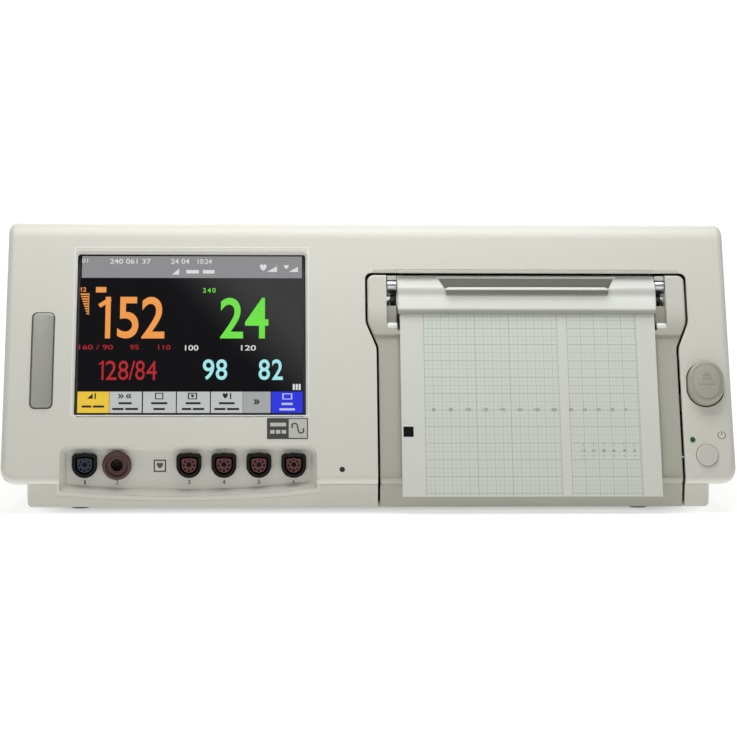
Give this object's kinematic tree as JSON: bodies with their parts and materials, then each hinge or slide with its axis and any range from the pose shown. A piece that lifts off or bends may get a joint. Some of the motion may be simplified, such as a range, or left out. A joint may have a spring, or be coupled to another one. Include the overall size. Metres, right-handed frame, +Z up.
{
  "type": "fetal monitor",
  "caption": "Desktop fetal monitor: leaning front with a display, sensor sockets, two push buttons and a pull-out paper drawer with a trace printer.",
  "frame": {"origin": "middle of the overall box, on the plane that the rubber feet stand on", "axes": "+X to the right as seen from the front, +Y from the front to the back, +Z up"},
  "size_m": [0.424, 0.3817, 0.1719],
  "materials": {
    "case_plastic": "fine textured light warm grey",
    "base_plastic": "fine textured light warm grey",
    "drawer_plastic": "fine textured warm grey",
    "rear_sheet": "powder coated light grey",
    "steel": "zinc plated",
    "chrome": "polished",
    "aluminium": "extruded, satin",
    "brass": "nickel free, satin",
    "rubber": "moulded black",
    "platen_rubber": "ground",
    "window": "anti-glare",
    "lcd": "dark display",
    "blue_shell": "moulded dark blue",
    "red_shell": "moulded dark red",
    "insert_black": "moulded black",
    "clear_guide": "clear moulded",
    "paper": "uncoated thermal paper",
    "gear_plastic": "acetal",
    "board": "green solder mask",
    "black_plastic": "moulded black",
    "button_grey": "satin grey",
    "button_pale": "satin light grey",
    "lamp_green": "clear tinted"
  },
  "bodies": {
    "case": {"front_bezel": "case_plastic", "top_cover": "case_plastic", "rear_panel": "rear_sheet", "rear_screws": "steel", "base_tray": "base_plastic", "rubber_feet": "rubber", "display_window": "window", "lcd_panel": "lcd", "display_bracket": "steel", "oximetry_socket": "blue_shell", "oximetry_insert": "insert_black", "pressure_socket": "red_shell", "fetal_socket_1": "red_shell", "fetal_insert_1": "insert_black", "fetal_socket_2": "red_shell", "fetal_insert_2": "insert_black", "fetal_socket_3": "red_shell", "fetal_insert_3": "insert_black", "fetal_socket_4": "red_shell", "fetal_insert_4": "insert_black", "drawer_rail_left": "steel", "drawer_rail_right": "steel", "motor_mount": "aluminium", "stepper_motor": "black_plastic", "print_head": "steel", "head_bracket": "aluminium", "recorder_chassis": "steel", "latch_bracket": "steel", "power_lamp": "lamp_green", "sensor_lens": "black_plastic", "key_board": "board", "mains_inlet": "black_plastic", "earth_post": "brass", "network_socket": "black_plastic", "serial_socket": "steel", "main_board": "board", "power_supply": "board", "pressure_pump": "black_plastic", "loudspeaker": "black_plastic"},
    "drawer": {"drawer_front": "drawer_plastic", "drawer_tray": "base_plastic", "drawer_slide_left": "steel", "drawer_slide_right": "steel", "paper_pack": "paper", "paper_sheet": "paper", "roller_bearing_left": "chrome", "roller_bearing_right": "chrome"},
    "guide": {"paper_guide": "clear_guide"},
    "platen": {"platen_roller": "platen_rubber", "platen_core": "steel", "platen_gear": "gear_plastic"},
    "pinion": {"motor_pinion": "brass"},
    "eject": {"eject_button": "button_grey"},
    "latch": {"latch_lever": "steel"},
    "standby": {"standby_button": "button_pale"}
  },
  "joints": [
    {"name": "drawer_slide", "type": "slide", "parent": "case", "child": "drawer", "axis": [0, -1, 0], "range_m": [0, 0.13]},
    {"name": "guide_tilt", "type": "hinge", "parent": "drawer", "child": "guide", "pos_m": [0.0933, -0.13624, 0.12388], "axis": [-1, 0, 0], "range_deg": [0, 45]},
    {"name": "platen_spin", "type": "hinge", "parent": "drawer", "child": "platen", "pos_m": [0.0933, -0.13624, 0.12388], "axis": [1, 0, 0], "continuous": true},
    {"name": "pinion_spin", "type": "hinge", "parent": "case", "child": "pinion", "pos_m": [0.1819, -0.12409, 0.12388], "axis": [1, 0, 0], "continuous": true},
    {"name": "eject_press", "type": "slide", "parent": "case", "child": "eject", "axis": [0, 0.9376, -0.3476], "range_m": [0, 0.004], "stiffness_N_per_m": 500, "springref_m": -0.001},
    {"name": "latch_turn", "type": "hinge", "parent": "case", "child": "latch", "pos_m": [0.1873, -0.13644, 0.05719], "axis": [0, 0.3476, 0.9376], "range_deg": [0, 26]},
    {"name": "standby_press", "type": "slide", "parent": "case", "child": "standby", "axis": [0, 0.9376, -0.3476], "range_m": [0, 0.0012], "stiffness_N_per_m": 500, "springref_m": -0.0005}
  ],
  "couplings": [
    {"joint": "pinion_spin", "follows": "platen_spin", "ratio": -1.5},
    {"joint": "latch_turn", "follows": "eject_press", "rad_per_m": 111.11}
  ]
}
